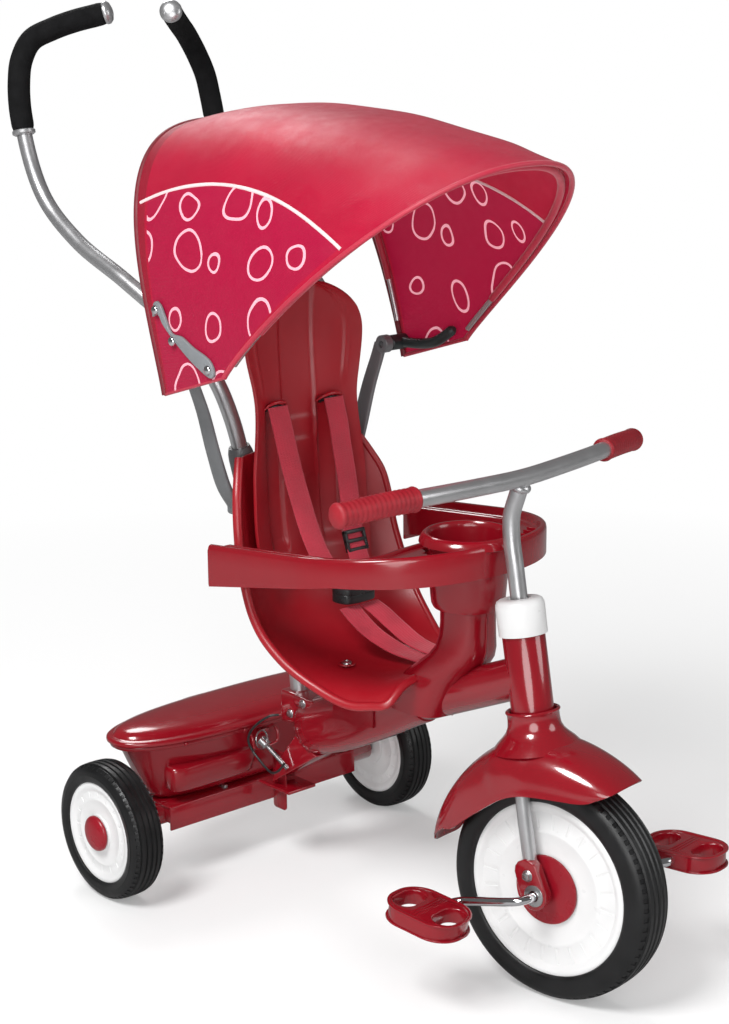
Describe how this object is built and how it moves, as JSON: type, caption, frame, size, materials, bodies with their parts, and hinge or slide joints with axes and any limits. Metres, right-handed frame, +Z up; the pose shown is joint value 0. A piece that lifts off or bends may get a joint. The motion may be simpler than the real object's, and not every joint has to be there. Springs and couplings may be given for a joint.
{
  "type": "children's tricycle",
  "caption": "Steel tricycle for toddlers with moulded seat, harness, tray with cup holder, sun canopy, rear bucket with lid and a parent's push handle.",
  "frame": {"origin": "centre of the overall box's footprint, on the ground under the wheels", "axes": "+X forwards along the boom, +Y to the rider's left, +Z up"},
  "size_m": [0.9376, 0.5424, 1.0607],
  "materials": {
    "enamel_red": "gloss enamel",
    "plastic_red": "satin to gloss moulding",
    "white_plastic": "satin",
    "tyre_black": "matt with moulded grooves",
    "silver_steel": "silver powder coat",
    "chrome_steel": "bright",
    "black_foam": "matt closed-cell foam",
    "red_rubber": "ribbed, satin",
    "grey_plastic": "satin",
    "dark_plastic": "satin",
    "black_plastic": "satin",
    "canopy_fabric": "coated satin cloth",
    "webbing_red": "woven",
    "cord_red": "satin"
  },
  "bodies": {
    "frame": {"head_tube": "enamel_red", "head_cap": "white_plastic", "boom_tube": "enamel_red", "boom_shell": "enamel_red", "post_clamp": "enamel_red", "handle_post": "silver_steel", "rear_axle_beam": "enamel_red", "rear_axle_rod": "chrome_steel", "seat_shell": "plastic_red", "seat_back": "plastic_red", "seat_mount": "plastic_red", "shoulder_strap_left": "webbing_red", "shoulder_strap_right": "webbing_red", "lap_strap": "webbing_red", "buckle": "black_plastic", "tray": "plastic_red", "cup_holder": "plastic_red", "column_left": "plastic_red", "column_right": "plastic_red", "yoke": "grey_plastic", "canopy_stay_left": "grey_plastic", "canopy_stay_right": "grey_plastic", "push_tube_left": "silver_steel", "push_tube_right": "silver_steel", "foam_grip_left": "black_foam", "foam_grip_right": "black_foam", "bucket": "plastic_red", "lock_pin": "silver_steel", "tether": "cord_red"},
    "buckle_button": {"buckle_button": "plastic_red"},
    "lid": {"bucket_lid": "plastic_red"},
    "canopy": {"canopy_cloth": "canopy_fabric", "canopy_arm_left": "dark_plastic", "canopy_arm_right": "dark_plastic", "canopy_plate_left": "grey_plastic", "canopy_plate_right": "grey_plastic", "canopy_bow_rear": "silver_steel", "canopy_bow_front": "silver_steel"},
    "steering": {"fork_crown": "silver_steel", "fork_leg_left": "silver_steel", "fork_leg_right": "silver_steel", "axle_bracket_left": "enamel_red", "axle_bracket_right": "enamel_red", "handlebar": "silver_steel", "bar_grip_left": "red_rubber", "bar_grip_right": "red_rubber", "front_fender": "enamel_red"},
    "front_wheel": {"front_tyre": "tyre_black", "front_wheel": "white_plastic", "front_hub_cover_left": "plastic_red", "front_hub_cover_right": "plastic_red", "crank_axle": "chrome_steel"},
    "pedal_left": {"pedal_left": "plastic_red"},
    "pedal_right": {"pedal_right": "plastic_red"},
    "rear_wheel_left": {"rear_tyre_left": "tyre_black", "rear_wheel_left": "white_plastic", "rear_hub_cap_left": "plastic_red"},
    "rear_wheel_right": {"rear_tyre_right": "tyre_black", "rear_wheel_right": "white_plastic", "rear_hub_cap_right": "plastic_red"}
  },
  "joints": [
    {"name": "steering_turn", "type": "hinge", "parent": "frame", "child": "steering", "pos_m": [0.2924, -0.00069, 0.3521], "axis": [-0.1822, 0, 0.9833], "range_deg": [-54.7, 35.3]},
    {"name": "front_wheel_spin", "type": "hinge", "parent": "steering", "child": "front_wheel", "pos_m": [0.34159, 0.00057, 0.1273], "axis": [-0.1657, 0.9857, -0.0307], "continuous": true},
    {"name": "pedal_left_spin", "type": "hinge", "parent": "front_wheel", "child": "pedal_left", "pos_m": [0.4033, 0.13825, 0.14331], "axis": [-0.1657, 0.9857, -0.0307], "continuous": true},
    {"name": "pedal_right_spin", "type": "hinge", "parent": "front_wheel", "child": "pedal_right", "pos_m": [0.27988, -0.13711, 0.11128], "axis": [-0.1657, 0.9857, -0.0307], "continuous": true},
    {"name": "rear_wheel_left_spin", "type": "hinge", "parent": "frame", "child": "rear_wheel_left", "pos_m": [-0.19718, 0.21881, 0.0853], "axis": [0, 1, 0], "continuous": true},
    {"name": "rear_wheel_right_spin", "type": "hinge", "parent": "frame", "child": "rear_wheel_right", "pos_m": [-0.19718, -0.22019, 0.0853], "axis": [0, 1, 0], "continuous": true},
    {"name": "lid_hinge", "type": "hinge", "parent": "frame", "child": "lid", "pos_m": [-0.276, -0.00069, 0.1843], "axis": [0, -1, 0], "range_deg": [0, 100]},
    {"name": "canopy_tilt", "type": "hinge", "parent": "frame", "child": "canopy", "pos_m": [-0.10018, -0.00069, 0.6513], "axis": [0, 1, 0], "range_deg": [-35, 20]},
    {"name": "buckle_button_press", "type": "slide", "parent": "frame", "child": "buckle_button", "axis": [0, 0, -1], "range_m": [0, 0.002], "stiffness_N_per_m": 400, "springref_m": -0.001}
  ]
}
